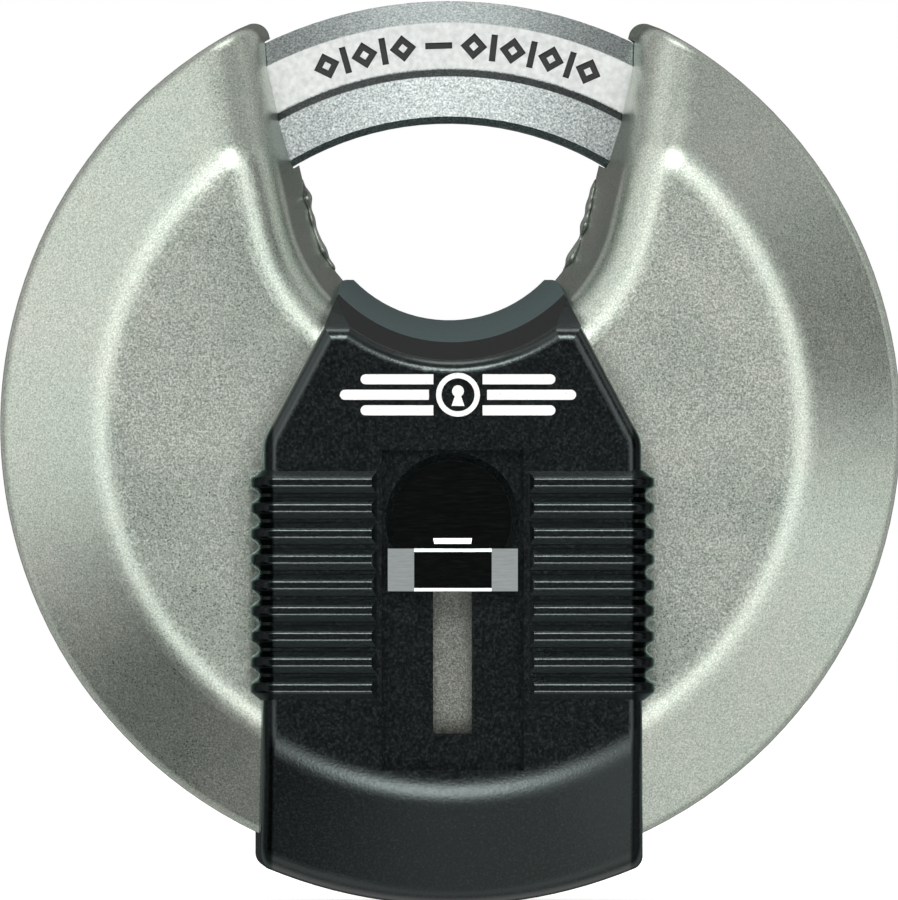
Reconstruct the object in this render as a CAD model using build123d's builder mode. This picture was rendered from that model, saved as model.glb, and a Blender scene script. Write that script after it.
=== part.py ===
"""A shrouded disc padlock: a welded steel disc whose curved shackle turns about the disc's own axis.

Row frame: millimetres, +Z up, +X to the right seen from the front, and the front faces -Y.
The origin is the middle of the throat, where the hasp's staple stands.
Most pieces are drawn on the DISC plane. There the first number runs to the right, the second up
from the disc's centre, and the third, called a level below, runs out of the front face.
"""

from build123d import *
import math
import os

# ---- driving dimensions ---------------------------------------------------------------------

# steel disc
DISC_RADIUS = 35.0
FACE_LEVEL = 12.7  # half the disc's thickness
CREASE_RADIUS = 27.3  # where the flat face turns into the bevel
RIM_LEVEL = 8.0  # where the bevel would meet the rim
CREASE_ROUND = 5.0
RIM_ROUND = 1.2
WALL = 1.8
RIM_WALL = 1.6

# throat
THROAT_HEIGHT = 18.6  # throat centre above the disc centre
THROAT_RADIUS = 11.0  # at the mid-plane
THROAT_FLARE = 13.0  # each side wall leans outward by this many degrees
THROAT_DRAFT = 10.0  # and opens towards both faces by this many
THROAT_ROUND = 4.0
THROAT_SPAN = 20.0  # more than half the throat's width at the rim
WELD_RADIUS = 0.4
WELD_START = 54.0  # degrees round the throat from its lowest point
WELD_STRAIGHT = 3.4
PLUG_HOLE_RADIUS = 4.9

# shackle
SHACKLE_INNER = 23.6
SHACKLE_OUTER = 33.1
SHACKLE_HALF = 4.8
SHACKLE_INNER_HALF = 2.9
SHACKLE_OUTER_HALF = 2.6
SHACKLE_KNEE = (24.1, 3.55)  # radius and level where the inner chamfer ends
SHACKLE_RIDGE = 27.2  # radius of the highest line in front
SHACKLE_BACK_RIDGE = 26.8
SHACKLE_TOE = -42.0  # clockwise from the top, seen from the front
SHACKLE_TAIL = 160.0
MOUTH_GAP = 0.15
MILLED_RADII = (27.75, 31.4)
MILLED_LEVEL = 4.4
MARK_RADIUS = 29.6
MARK_DEPTH = 0.3
MARK_HALF = 1.05
MARK_HOLE = 0.36
MARK_STROKE = 0.5
MARK_STEP = 2.95
MARK_GROUPS = ((-18.9, 5), (3.6, 7))  # the first mark's clockwise angle, and how many marks
DASH_TURN = -1.7

# drive
PLUG_DROP = 7.3  # plug axis below the disc axis, and also the crank's throw
ARM_ANGLE = 145.0
PLUG_RADIUS = 4.75
BORE_RADIUS = 4.80
PLUG_FRONT = 12.2
PLUG_BACK = -1.9
COLLAR_RADIUS = 5.5
COLLAR_LEVELS = (9.85, 10.75)
COLLAR_GAP = 0.05
NECK_RADIUS = 3.9
NECK_BACK = -2.5
TANG_WIDTH = 5.4
TANG_BACK = -4.5
KEYWAY_WIDTH = 2.2
KEYWAY_HEIGHT = 6.6
KEYWAY_FLOOR = -1.0
KEYWAY_GROOVES = ((1, -0.825, 1.65), (-1, 1.65, 1.1))  # side, height and size of each
PLUG_CHAMFER = 0.3
CRANK_PIN_RADIUS = 1.5
CRANK_FRONT = -2.55
CRANK_HUB_RADIUS = 4.8
CRANK_EYE_RADIUS = 2.8
CRANK_PIN_TIP = -7.0
CLIP_RADIUS = 5.6
CLIP_LEVELS = (-2.47, -1.92)
CLIP_MOUTH = (5.85, 6.72)
ARM_LEVELS = (-6.8, -4.8)
ARM_TIP = 8.5
ARM_HALF = 3.7
ARM_OVERLAP = 2.0  # how far the arm runs into its lug
ARM_SLOT = (10.2, 16.4)
ARM_SLOT_WIDTH = 3.1
LUG_RADII = (24.2, 32.2)
LUG_HALF_ANGLE = 12.0
RIVET_CIRCLE = 28.2
RIVET_TURNS = (-6.0, 6.0)
RIVET_DEPTH = 2.0
RIVET_RADIUS = 1.6

# pin tumblers
PIN_LEVELS = (8.45, 5.55, 2.65, -0.25)
PIN_RADIUS = 1.2
CHAMBER_RADIUS = 1.25
CHAMBER_END = 0.6  # how far below the plug's axis the chambers end
KEY_PIN_LENGTHS = (2.2, 2.9, 2.5, 3.1)
KEY_PIN_BOTTOM = 4.54  # below the plug axis
KEY_PIN_POINT = 0.7
SPOOL_RADIUS = 0.8
DRIVER_PIN_TOP = 4.82
DRIVER_PIN_LENGTH = 4.2
SPRING_FLOOR = -21.4  # height of the chambers' closed end from the disc centre
SPRING_WIRE = 0.2
SPRING_TURNS = 6
SPRING_RADIUS = 0.9
SPRING_GAP = 0.05

# cylinder and chassis
BARREL_RADIUS = 7.3
BIBLE_HALF = 3.6
BIBLE_BOTTOM = -22.2
CAP_HALF = 2.0
CYLINDER_LEVELS = (-1.8, 10.8)
CHASSIS_RADIUS = 23.3
CHASSIS_FRONT = 10.7
CHASSIS_BACK = -2.4
CHASSIS_GAP = 0.12  # between the castings and the throat's wall
REAR_CHASSIS_FRONT = -7.1
FLANGE_RADIUS = 32.6
FLANGE_LEVELS = (4.95, 6.2)
SCREW_RADIUS = 1.5
SCREW_CIRCLE = 20.2
SCREW_ANGLES = (62.0, 108.0, 252.0, 298.0)
SCREW_TIP = 5.0
SCREW_HEAD_RADIUS = 2.8
SCREW_HEAD_HEIGHT = 2.0
SPACER_ANGLES = ((42.0, 125.0), (235.0, 318.0))
SPACER_INNER = 17.0
REAR_FLANGE_RADIUS = 31.0
REAR_FLANGE_THICKNESS = 1.1
POCKET_RING = (11.0, 17.0)
POCKET_MARGINS = (10.0, 12.0)  # degrees inside each end of a spacer
POCKET_DEPTH = 10.0

# plastic covers
COVER_RADIUS = 37.2
COVER_LEVEL = 16.9
COVER_CREASE = 28.4
COVER_RIM_LEVEL = 11.5
COVER_CREASE_ROUND = 5.5
COVER_RIM_ROUND = 3.0
COVER_DRAFT = 1.4
COVER_EDGE_ROUND = 1.1
COVER_HALF_WIDTH = 15.2
SHOULDER = (15.0, -1.0)
EAR = (8.44, 11.4)
EAR_TIP = (7.2, 11.4)
EAR_FOOT = (6.5, 10.6)
SADDLE_RADIUS = 10.35
SADDLE_FACE_RADIUS = 13.7
SHOULDER_ROUND = 3.0
EAR_ROUND = 0.8
EAR_SLOPE_START = (10.4, 10.2)  # height and level where an ear's slope starts
EAR_SLOPE_END = (7.3, 16.9)
PARTING_LEVEL = 10.0
LINER_CUT_RADIUS = 13.6

# grip ribs on the front cover
RIB_COUNT = 9
RIB_PITCH = 1.989
RIB_TOP = -3.5
RIB_HEIGHT = 0.7
RIB_INNER = 5.85
RIB_OVERRUN = 1.0
RIB_SIDE_LEVEL = 11.7
RIB_CORNER = 1.0
RIB_SINK = 0.25
RIB_CROWN = 0.66
RIB_SLOPE = 0.78  # how far each flank leans for its height
RIB_ROUND = 0.33
RIB_ROOT = 0.6
RIB_SEAT = 0.1  # how far the end flanks run on below the face
GROOVE_LEVEL = 0.04
RIB_END_SLOPE = 0.45
CORE_CENTRE = (10.4, -13.0)
CORE_SIZE = (6.0, 18.0)
CORE_ROUND = 1.0
CORE_DEPTH = 2.2

# sliding shutter and its channel
CHANNEL_HALF = 5.5
CHANNEL_TOP = -1.85
CHANNEL_BOTTOM = -26.7
CHANNEL_FLOOR = 15.5
WINDOW_RADIUS = 4.65
WINDOW_CHAMFER = 0.55
SLOT_HALF = 1.5
SLOT_BOTTOM = -23.8
POCKET_HALF = 6.5
POCKET_TOP = -0.8
POCKET_BOTTOM = -24.5
POCKET_LEVEL = 14.0
SHUTTER_LEVELS = (12.8, 13.8)
GRIP_TOP = -9.5
GRIP_BOTTOM = -12.8
GRIP_HALF = 5.03
GRIP_LEVELS = (15.7, 17.4)
GRIP_SHOULDER = 16.9
GRIP_RIM = 0.25
GRIP_RIM_FALL = 0.09
STEM_HALF = 1.35
STEM_SHORT = 0.6
TAB_TOP = -8.7
TAB_FOOT = -9.13
TAB_FLARE = 0.15
TAB_LEVELS = (16.0, 16.35, 16.2)  # at its foot, and at the bottom and top of its facet
SHUTTER_HALF = 6.2
SHUTTER_BOTTOM = -12.8
GRIP_DISH_HALF = 3.0
GRIP_DISH_DEPTH = 0.7

# ---- planes and axes ------------------------------------------------------------------------

DISC_Z = -THROAT_HEIGHT
DISC = Plane(origin=(0, 0, DISC_Z), x_dir=(1, 0, 0), z_dir=(0, -1, 0))
SECTION = Plane(origin=(0, 0, DISC_Z), x_dir=(1, 0, 0), z_dir=(0, 0, -1))  # radius, level
THROAT_SECTION = Plane(origin=(0, 0, 0), x_dir=(1, 0, 0), z_dir=(0, 0, -1))
DISC_AXIS = Axis((0, 0, DISC_Z), (0, 1, 0))
THROAT_AXIS = Axis((0, 0, 0), (0, 1, 0))
PLUG_CENTRE = (0, -PLUG_DROP)
BEVEL_ANGLE = math.atan2(FACE_LEVEL - RIM_LEVEL, DISC_RADIUS - CREASE_RADIUS)
FAR = 60.0  # longer than anything in the lock
BEYOND = 3.0  # how far a tapered solid runs on past the face it cuts or meets
CLOSE = 0.1  # how near counts as touching, when edges and corners are picked


def level(distance):
    """The drawing plane at a level, in front of the disc's mid-plane or behind it."""
    return DISC.offset(distance)


def clock(radius, angle):
    """A point at a radius from the disc's centre, at an angle clockwise from the top."""
    turn = math.radians(angle)
    return (radius * math.sin(turn), radius * math.cos(turn))


def radial_plane(angle):
    """The plane through the disc's axis at a clockwise angle: radius to the right, level up."""
    turn = math.radians(angle)
    outward = Vector(math.sin(turn), 0, math.cos(turn))
    return Plane(origin=(0, 0, DISC_Z), x_dir=outward, z_dir=outward.cross(Vector(0, -1, 0)))


def turned_level(distance, angle):
    """The drawing plane at a level, turned so that its second number runs along a clockwise angle."""
    turn = math.radians(angle)
    across = Vector(math.cos(turn), 0, -math.sin(turn))
    return Plane(origin=(0, -distance, DISC_Z), x_dir=across, z_dir=(0, -1, 0))


def upright(across):
    """The drawing plane that faces +X, a distance across: height from the disc's centre, then level."""
    return Plane(origin=(across, 0, DISC_Z), x_dir=(0, 0, 1), z_dir=(1, 0, 0))


def from_axis(item):
    """How far a point, or an edge's middle, is from the disc's axis."""
    point = item if isinstance(item, Vector) else item.position_at(0.5)
    return math.hypot(point.X, point.Z - DISC_Z)


def write(piece, name):
    """Labels a finished piece and writes its STEP file."""
    piece.part.label = name
    export_step(piece.part, f"parts/{name}.step")


os.makedirs("parts", exist_ok=True)

# ---- shared forms ---------------------------------------------------------------------------


def disc_profile(wall, rim_wall):
    """Half of the disc's section, from the mid-plane forward, with its walls moved inward."""
    crease_in = CREASE_RADIUS - wall * math.tan(BEVEL_ANGLE / 2)
    rim_in = DISC_RADIUS - rim_wall
    drop = (rim_in - CREASE_RADIUS) * math.tan(BEVEL_ANGLE) + wall / math.cos(BEVEL_ANGLE)
    face_in = FACE_LEVEL - wall
    with BuildSketch() as profile:
        with BuildLine():
            Polyline(
                (0, 0),
                (0, face_in),
                (crease_in, face_in),
                (rim_in, FACE_LEVEL - drop),
                (rim_in, 0),
                close=True,
            )
        make_face()
        corner = profile.vertices().sort_by_distance((crease_in, face_in))[0]
        fillet(corner, CREASE_ROUND)
    return profile.sketch


def throat_profile(grow):
    """The throat's outline at the mid-plane, open upward past the rim."""
    radius = THROAT_RADIUS + grow
    flare = math.radians(THROAT_FLARE)
    side = radius * math.cos(flare)
    start = THROAT_HEIGHT - radius * math.sin(flare)
    top = side + (FAR - start) * math.tan(flare)
    with BuildSketch() as profile:
        with BuildLine():
            ThreePointArc((-side, start), (0, THROAT_HEIGHT - radius), (side, start))
            Polyline((side, start), (top, FAR), (-top, FAR), (-side, start))
        make_face()
    return profile.sketch


def shackle_section(grow=0.0):
    """The shackle's section as radius and level, with a shallow milled flat on the front."""
    with BuildSketch() as profile:
        with BuildLine():
            Polyline(
                (SHACKLE_INNER, -SHACKLE_INNER_HALF),
                (SHACKLE_INNER, SHACKLE_INNER_HALF),
                SHACKLE_KNEE,
                (SHACKLE_RIDGE, SHACKLE_HALF),
                (MILLED_RADII[0], MILLED_LEVEL),
                (MILLED_RADII[1], MILLED_LEVEL),
                (SHACKLE_OUTER, SHACKLE_OUTER_HALF),
                (SHACKLE_OUTER, -SHACKLE_OUTER_HALF),
                (MILLED_RADII[1], -SHACKLE_HALF),
                (SHACKLE_BACK_RIDGE, -SHACKLE_HALF),
                (SHACKLE_KNEE[0], -SHACKLE_KNEE[1]),
                close=True,
            )
        make_face()
        if grow:
            offset(amount=grow, kind=Kind.INTERSECTION)
    return profile.sketch


def sector(inner, outer, start, end):
    """An annular sector between two clockwise angles from the top."""
    middle = (start + end) / 2
    with BuildSketch() as profile:
        with BuildLine():
            ThreePointArc(clock(outer, start), clock(outer, middle), clock(outer, end))
            Line(clock(outer, end), clock(inner, end))
            ThreePointArc(clock(inner, end), clock(inner, middle), clock(inner, start))
            Line(clock(inner, start), clock(outer, start))
        make_face()
    return profile.sketch


def is_throat_edge(edge):
    """True for the edges where the throat breaks out of the disc's front."""
    middle = edge.center()
    in_front = -middle.Y > RIM_LEVEL + RIM_ROUND - CLOSE
    inside_rim = THROAT_RADIUS < from_axis(edge) < DISC_RADIUS - RIM_ROUND / 2
    return in_front and inside_rim and abs(middle.X) < THROAT_SPAN


with BuildPart() as throat_block:  # the throat as a solid, opening towards both faces
    with BuildSketch(level(0)):
        add(throat_profile(0))
    extrude(amount=FACE_LEVEL + BEYOND, taper=-THROAT_DRAFT)
    mirror(about=DISC)

with BuildPart() as throat_walled:  # the same, grown by the wall's thickness
    with BuildSketch(level(0)):
        add(throat_profile(WALL / math.cos(math.radians(THROAT_DRAFT))))
    extrude(amount=FACE_LEVEL + BEYOND, taper=-THROAT_DRAFT)
    mirror(about=DISC)

with BuildPart() as throat_cleared:  # and once more with room for a loose piece beside the wall
    with BuildSketch(level(0)):
        add(throat_profile(WALL / math.cos(math.radians(THROAT_DRAFT)) + CHASSIS_GAP))
    extrude(amount=FACE_LEVEL + BEYOND, taper=-THROAT_DRAFT)
    mirror(about=DISC)

with BuildPart() as mouth_ring:  # the space that the shackle turns in
    with BuildSketch(SECTION):
        add(shackle_section(MOUTH_GAP))
    revolve(axis=DISC_AXIS)

with BuildPart() as front_form:  # the front half of the steel disc, not yet hollow
    with BuildSketch(SECTION):
        add(disc_profile(0, 0))
    revolve(axis=DISC_AXIS)
    add(throat_block.part, mode=Mode.SUBTRACT)
    fillet(front_form.edges().filter_by(is_throat_edge), THROAT_ROUND)
    rim_edges = front_form.edges().filter_by(lambda edge: from_axis(edge) > DISC_RADIUS - CLOSE)
    fillet(rim_edges.filter_by(lambda edge: edge.center().Y < -CLOSE), RIM_ROUND)

with BuildPart() as rear_form:
    add(front_form.part.mirror(DISC))

with BuildPart() as cavity:  # the hollow inside both shells
    with BuildSketch(SECTION):
        add(disc_profile(WALL, RIM_WALL))
    revolve(axis=DISC_AXIS)
    mirror(about=DISC)
    add(throat_walled.part, mode=Mode.SUBTRACT)

# ---- steel shells ---------------------------------------------------------------------------

with BuildPart() as front_shell:
    add(front_form.part)
    add(cavity.part, mode=Mode.SUBTRACT)
    add(mouth_ring.part, mode=Mode.SUBTRACT)
    with BuildSketch(level(FACE_LEVEL)):
        with Locations(PLUG_CENTRE):
            Circle(PLUG_HOLE_RADIUS)
    extrude(amount=-2 * WALL, mode=Mode.SUBTRACT)
write(front_shell, "front_shell")

with BuildPart() as rear_shell:
    add(rear_form.part)
    add(cavity.part, mode=Mode.SUBTRACT)
    add(mouth_ring.part, mode=Mode.SUBTRACT)
write(rear_shell, "rear_shell")


def throat_point(turn, beyond=0.0):
    """A point round the throat's mid-plane outline from its lowest point, or beyond it in line."""
    angle = math.radians(turn)
    across = THROAT_RADIUS * math.sin(angle) + beyond * math.cos(angle)
    up = THROAT_HEIGHT - THROAT_RADIUS * math.cos(angle) + beyond * math.sin(angle)
    return (across, up)


with BuildPart() as weld_seam:  # the bead left in the throat on the join of the two shells
    with BuildLine(level(0)) as seam_line:
        ThreePointArc(
            throat_point(WELD_START),
            throat_point((WELD_START + 90 - THROAT_FLARE) / 2),
            throat_point(90 - THROAT_FLARE),
        )
        Line(throat_point(90 - THROAT_FLARE), throat_point(90 - THROAT_FLARE, WELD_STRAIGHT))
    with BuildSketch(Plane(origin=seam_line.line @ 0, z_dir=seam_line.line % 0)):
        Circle(WELD_RADIUS)
    sweep(path=seam_line.line)
    mirror(about=Plane.YZ)
    add(front_form.part, mode=Mode.SUBTRACT)
    add(rear_form.part, mode=Mode.SUBTRACT)
write(weld_seam, "weld_seam")

# ---- chassis halves and their screws --------------------------------------------------------

with BuildPart() as front_chassis:  # fills the front shell and guides the shackle's front face
    with BuildSketch(level(CHASSIS_BACK)):
        Circle(CHASSIS_RADIUS)
    extrude(amount=CHASSIS_FRONT - CHASSIS_BACK)
    with BuildSketch(level(FLANGE_LEVELS[0])):
        Circle(FLANGE_RADIUS)
    extrude(amount=FLANGE_LEVELS[1] - FLANGE_LEVELS[0])
    add(throat_cleared.part, mode=Mode.SUBTRACT)
    with BuildSketch(level(CHASSIS_BACK)):
        with Locations(PLUG_CENTRE):
            Circle(BARREL_RADIUS)
        with Locations((0, (BIBLE_BOTTOM - PLUG_DROP) / 2)):
            Rectangle(2 * BIBLE_HALF, -BIBLE_BOTTOM - PLUG_DROP)
    extrude(amount=FAR, mode=Mode.SUBTRACT)
    with BuildSketch(level(CHASSIS_BACK)):
        for start, end in SPACER_ANGLES:
            add(sector(POCKET_RING[0], POCKET_RING[1], start + POCKET_MARGINS[0], end - POCKET_MARGINS[1]))
    extrude(amount=POCKET_DEPTH, mode=Mode.SUBTRACT)
    with BuildSketch(level(CHASSIS_BACK)):
        with Locations(*(clock(SCREW_CIRCLE, angle) for angle in SCREW_ANGLES)):
            Circle(SCREW_RADIUS)
    extrude(amount=SCREW_TIP - CHASSIS_BACK, mode=Mode.SUBTRACT)
write(front_chassis, "front_chassis")

with BuildPart() as rear_chassis:  # backs the mechanism and guides the shackle's rear face
    with BuildSketch(level(-CHASSIS_FRONT)):
        Circle(CHASSIS_RADIUS)
    extrude(amount=CHASSIS_FRONT + REAR_CHASSIS_FRONT)
    with BuildSketch(level(REAR_CHASSIS_FRONT)):
        Circle(REAR_FLANGE_RADIUS)
    extrude(amount=-REAR_FLANGE_THICKNESS)
    with BuildSketch(level(REAR_CHASSIS_FRONT)):
        for start, end in SPACER_ANGLES:
            add(sector(SPACER_INNER, REAR_FLANGE_RADIUS, start, end))
    extrude(amount=-FLANGE_LEVELS[0] - REAR_CHASSIS_FRONT)
    with BuildSketch(level(REAR_CHASSIS_FRONT)):
        for start, end in SPACER_ANGLES:
            add(sector(SPACER_INNER, CHASSIS_RADIUS, start, end))
    extrude(amount=CHASSIS_BACK - REAR_CHASSIS_FRONT)
    add(throat_cleared.part, mode=Mode.SUBTRACT)
    with BuildSketch(level(-CHASSIS_FRONT)):
        with Locations(*(clock(SCREW_CIRCLE, angle) for angle in SCREW_ANGLES)):
            Circle(SCREW_RADIUS)
    extrude(amount=FAR, mode=Mode.SUBTRACT)
    with BuildSketch(level(-CHASSIS_FRONT)):
        with Locations(*(clock(SCREW_CIRCLE, angle) for angle in SCREW_ANGLES)):
            Circle(SCREW_HEAD_RADIUS)
    extrude(amount=SCREW_HEAD_HEIGHT, mode=Mode.SUBTRACT)
write(rear_chassis, "rear_chassis")

with BuildPart() as chassis_screws:
    with BuildSketch(level(-CHASSIS_FRONT)):
        with Locations(*(clock(SCREW_CIRCLE, angle) for angle in SCREW_ANGLES)):
            Circle(SCREW_HEAD_RADIUS)
    extrude(amount=SCREW_HEAD_HEIGHT)
    with BuildSketch(level(-CHASSIS_FRONT + SCREW_HEAD_HEIGHT)):
        with Locations(*(clock(SCREW_CIRCLE, angle) for angle in SCREW_ANGLES)):
            Circle(SCREW_RADIUS)
    extrude(amount=SCREW_TIP + CHASSIS_FRONT - SCREW_HEAD_HEIGHT)
    with BuildSketch(level(-CHASSIS_FRONT)):
        with Locations(*(clock(SCREW_CIRCLE, angle) for angle in SCREW_ANGLES)):
            RegularPolygon(SCREW_RADIUS, 6)
    extrude(amount=SCREW_HEAD_HEIGHT / 2, mode=Mode.SUBTRACT)
write(chassis_screws, "chassis_screws")

# ---- pin tumbler cylinder -------------------------------------------------------------------


def pin_plane(pin_level, height):
    """A horizontal plane on one pin chamber's axis, at a height from the disc's centre."""
    return Plane(origin=(0, -pin_level, DISC_Z + height), x_dir=(1, 0, 0), z_dir=(0, 0, 1))


with BuildPart() as cylinder_shell:
    with BuildSketch(level(CYLINDER_LEVELS[0])):
        with Locations(PLUG_CENTRE):
            Circle(BARREL_RADIUS)
        with Locations((0, (BIBLE_BOTTOM - PLUG_DROP) / 2)):
            Rectangle(2 * BIBLE_HALF, -BIBLE_BOTTOM - PLUG_DROP)
    extrude(amount=CYLINDER_LEVELS[1] - CYLINDER_LEVELS[0])
    with BuildSketch(level(CYLINDER_LEVELS[0])):
        with Locations(PLUG_CENTRE):
            Circle(BORE_RADIUS)
    extrude(amount=FAR, mode=Mode.SUBTRACT)
    with BuildSketch(level(COLLAR_LEVELS[0] - COLLAR_GAP)):
        with Locations(PLUG_CENTRE):
            Circle(COLLAR_RADIUS + COLLAR_GAP)
    extrude(amount=FAR, mode=Mode.SUBTRACT)
    for pin_level in PIN_LEVELS:
        with BuildSketch(pin_plane(pin_level, -PLUG_DROP)):
            Circle(CHAMBER_RADIUS)
        extrude(amount=SPRING_FLOOR + PLUG_DROP, mode=Mode.SUBTRACT)
    with BuildSketch(level(CYLINDER_LEVELS[0])):
        with Locations((0, (BIBLE_BOTTOM + SPRING_FLOOR) / 2)):
            Rectangle(2 * CAP_HALF, SPRING_FLOOR - BIBLE_BOTTOM)
    extrude(amount=FAR, mode=Mode.SUBTRACT)
write(cylinder_shell, "cylinder_shell")

with BuildPart() as chamber_cap:  # the strip that closes the spring chambers
    with BuildSketch(level(CYLINDER_LEVELS[0])):
        with Locations((0, (BIBLE_BOTTOM + SPRING_FLOOR) / 2)):
            Rectangle(2 * CAP_HALF, SPRING_FLOOR - BIBLE_BOTTOM)
    extrude(amount=CYLINDER_LEVELS[1] - CYLINDER_LEVELS[0])
write(chamber_cap, "chamber_cap")

with BuildPart() as plug:
    with BuildSketch(level(PLUG_BACK)):
        with Locations(PLUG_CENTRE):
            Circle(PLUG_RADIUS)
    extrude(amount=PLUG_FRONT - PLUG_BACK)
    front_edge = plug.edges().filter_by(GeomType.CIRCLE).sort_by(Axis.Y)[0]
    chamfer(front_edge, PLUG_CHAMFER)
    with BuildSketch(level(COLLAR_LEVELS[0])):
        with Locations(PLUG_CENTRE):
            Circle(COLLAR_RADIUS)
    extrude(amount=COLLAR_LEVELS[1] - COLLAR_LEVELS[0])
    with BuildSketch(level(NECK_BACK)):
        with Locations(PLUG_CENTRE):
            Circle(NECK_RADIUS)
    extrude(amount=PLUG_BACK - NECK_BACK)
    with BuildSketch(level(TANG_BACK)):
        with Locations(PLUG_CENTRE):
            Rectangle(TANG_WIDTH, TANG_WIDTH)
    extrude(amount=NECK_BACK - TANG_BACK)
    with BuildSketch(level(KEYWAY_FLOOR)):
        with Locations(PLUG_CENTRE):
            Rectangle(KEYWAY_WIDTH, KEYWAY_HEIGHT)
        for side, height, size in KEYWAY_GROOVES:
            with Locations((side * KEYWAY_WIDTH / 2, height - PLUG_DROP)):
                Rectangle(KEYWAY_WIDTH / 2, size)
    extrude(amount=FAR, mode=Mode.SUBTRACT)
    for pin_level in PIN_LEVELS:
        with BuildSketch(pin_plane(pin_level, -PLUG_DROP - PLUG_RADIUS)):
            Circle(CHAMBER_RADIUS)
        extrude(amount=PLUG_RADIUS - CHAMBER_END, mode=Mode.SUBTRACT)
write(plug, "plug")

for number, (pin_level, length) in enumerate(zip(PIN_LEVELS, KEY_PIN_LENGTHS), start=1):
    with BuildPart() as key_pin:
        with BuildSketch(pin_plane(pin_level, -PLUG_DROP - KEY_PIN_BOTTOM)):
            Circle(PIN_RADIUS)
        extrude(amount=length)
        chamfer(key_pin.edges().group_by(Axis.Z)[-1], KEY_PIN_POINT)
    write(key_pin, f"key_pin_{number}")

    driver_bottom = -PLUG_DROP - DRIVER_PIN_TOP - DRIVER_PIN_LENGTH
    with BuildPart() as driver_pin:  # spool shaped
        with BuildSketch(pin_plane(pin_level, driver_bottom)):
            Circle(PIN_RADIUS)
        extrude(amount=DRIVER_PIN_LENGTH)
        with BuildSketch(pin_plane(pin_level, driver_bottom + DRIVER_PIN_LENGTH / 3)):
            Circle(PIN_RADIUS)
            Circle(SPOOL_RADIUS, mode=Mode.SUBTRACT)
        extrude(amount=DRIVER_PIN_LENGTH / 3, mode=Mode.SUBTRACT)
    write(driver_pin, f"driver_pin_{number}")

    spring_start = SPRING_FLOOR + SPRING_WIRE + SPRING_GAP
    spring_height = driver_bottom - SPRING_WIRE - SPRING_GAP - spring_start
    with BuildPart() as pin_spring:
        with BuildLine(pin_plane(pin_level, spring_start)) as coil:
            Helix(spring_height / SPRING_TURNS, spring_height, SPRING_RADIUS)
        with BuildSketch(Plane(origin=coil.line @ 0, z_dir=coil.line % 0)):
            Circle(SPRING_WIRE)
        sweep(path=coil.line)
    write(pin_spring, f"pin_spring_{number}")

# ---- drive from the plug to the shackle -----------------------------------------------------

CRANK_ANGLE = 2 * ARM_ANGLE - 180
CRANK_PIN_CENTRE = (
    PLUG_DROP * math.sin(math.radians(CRANK_ANGLE)),
    PLUG_DROP * math.cos(math.radians(CRANK_ANGLE)) - PLUG_DROP,
)

with BuildPart() as drive_crank:
    with BuildSketch(level(TANG_BACK)):
        with Locations(PLUG_CENTRE):
            Circle(CRANK_HUB_RADIUS)
        with Locations(CRANK_PIN_CENTRE):
            Circle(CRANK_EYE_RADIUS)
        make_hull()
        with Locations(PLUG_CENTRE):
            Rectangle(TANG_WIDTH, TANG_WIDTH, mode=Mode.SUBTRACT)
        with Locations(CRANK_PIN_CENTRE):
            Circle(CRANK_PIN_RADIUS, mode=Mode.SUBTRACT)
    extrude(amount=CRANK_FRONT - TANG_BACK)
write(drive_crank, "drive_crank")

with BuildPart() as crank_pin:
    with BuildSketch(level(CRANK_FRONT)):
        with Locations(CRANK_PIN_CENTRE):
            Circle(CRANK_PIN_RADIUS)
    extrude(amount=CRANK_PIN_TIP - CRANK_FRONT)
write(crank_pin, "crank_pin")

with BuildPart() as retaining_clip:  # a C-shaped clip in the plug's neck
    with BuildSketch(level(CLIP_LEVELS[0])):
        with Locations(PLUG_CENTRE):
            Circle(CLIP_RADIUS)
            Circle(NECK_RADIUS, mode=Mode.SUBTRACT)
        with Locations((0, -PLUG_DROP - CLIP_RADIUS)):
            Rectangle(*CLIP_MOUTH, mode=Mode.SUBTRACT)
    extrude(amount=CLIP_LEVELS[1] - CLIP_LEVELS[0])
write(retaining_clip, "retaining_clip")

# ---- shackle --------------------------------------------------------------------------------


with BuildPart() as shackle:
    with BuildSketch(radial_plane(SHACKLE_TOE)):
        add(shackle_section())
    revolve(axis=DISC_AXIS, revolution_arc=SHACKLE_TAIL - SHACKLE_TOE)
    with BuildSketch(level(MILLED_LEVEL)):
        for start, count in MARK_GROUPS:  # diamonds and bars by turns, with a dash between the groups
            for step in range(count):
                with PolarLocations(MARK_RADIUS, 1, start_angle=90 - start - step * MARK_STEP):
                    if step % 2:
                        Rectangle(2 * MARK_HALF, MARK_STROKE)
                    else:
                        RegularPolygon(MARK_HALF, 4)
                        RegularPolygon(MARK_HOLE, 4, mode=Mode.SUBTRACT)
        with PolarLocations(MARK_RADIUS, 1, start_angle=90 - DASH_TURN):
            Rectangle(MARK_STROKE, 2 * MARK_HALF)
    extrude(amount=-MARK_DEPTH, mode=Mode.SUBTRACT)
    with BuildSketch(level(-SHACKLE_HALF)):
        with Locations(*(clock(RIVET_CIRCLE, ARM_ANGLE + turn) for turn in RIVET_TURNS)):
            Circle(RIVET_RADIUS)
    extrude(amount=RIVET_DEPTH, mode=Mode.SUBTRACT)
write(shackle, "shackle")

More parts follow.
